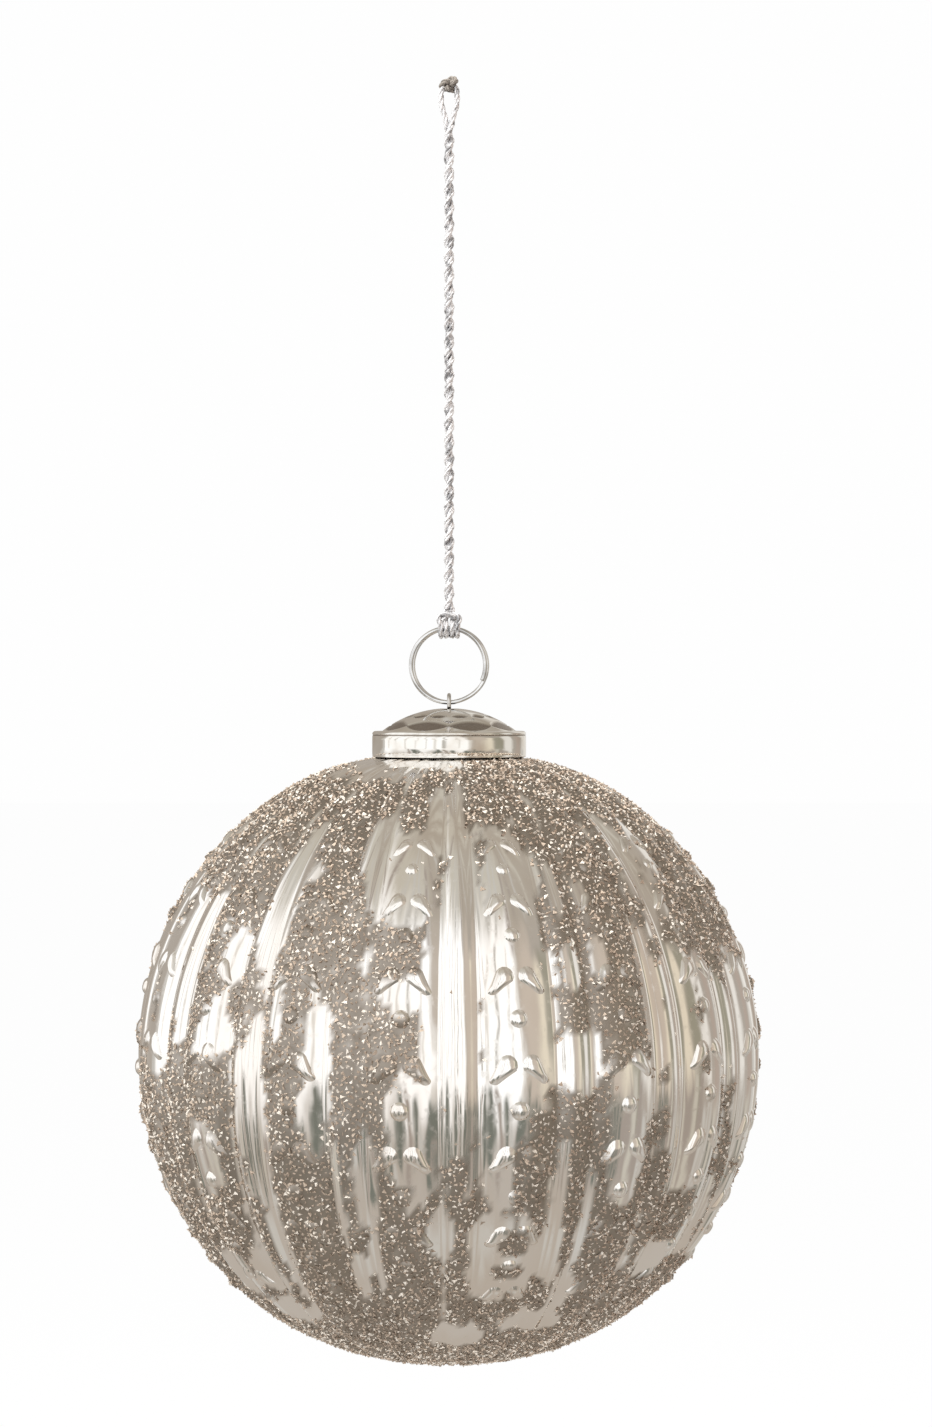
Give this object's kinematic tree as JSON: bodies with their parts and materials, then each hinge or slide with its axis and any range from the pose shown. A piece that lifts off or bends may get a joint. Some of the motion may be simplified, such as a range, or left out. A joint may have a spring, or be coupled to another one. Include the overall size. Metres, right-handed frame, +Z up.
{
  "type": "glass ball ornament",
  "caption": "Silvered mould-blown glass ball with fluted panels and a pressed cap, hung by a wire clip, a split ring and a twisted metallic cord.",
  "frame": {"origin": "inside the top of the cord loop, under the knot, where a hook bears", "axes": "+Z up along the hanging axis, the split ring in the XZ plane, -Y towards the viewer"},
  "size_m": [0.1266, 0.1256, 0.2585],
  "materials": {
    "silvered_glass": "silvered inside, champagne tint, with a patchy coat of clear grains",
    "plated_cap": "bright nickel plate over pressed sheet",
    "spring_wire": "bright drawn wire",
    "plated_ring": "bright nickel plate",
    "metallic_cord": "silver metallic yarn, tightly plied",
    "knotted_cord": "silver metallic yarn, pulled tight and in its own shade"
  },
  "bodies": {
    "cord": {"cord_hitch": "metallic_cord", "cord_twist": "metallic_cord", "cord_loop": "metallic_cord", "cord_knot": "knotted_cord"},
    "ring": {"split_ring": "plated_ring"},
    "clip": {"clip": "spring_wire"},
    "ball": {"glass_ball": "silvered_glass", "cap": "plated_cap"}
  },
  "joints": [
    {"name": "ring_swing", "type": "hinge", "parent": "cord", "child": "ring", "pos_m": [0, 0, -0.1083], "axis": [1, 0, 0], "range_deg": [-45, 45]},
    {"name": "ball_swing", "type": "hinge", "parent": "ring", "child": "clip", "pos_m": [0, 0, -0.12325], "axis": [1, 0, 0], "range_deg": [-75, 75]},
    {"name": "ball_spin", "type": "hinge", "parent": "clip", "child": "ball", "pos_m": [0, 0, -0.12325], "axis": [0, 0, 1], "continuous": true}
  ]
}
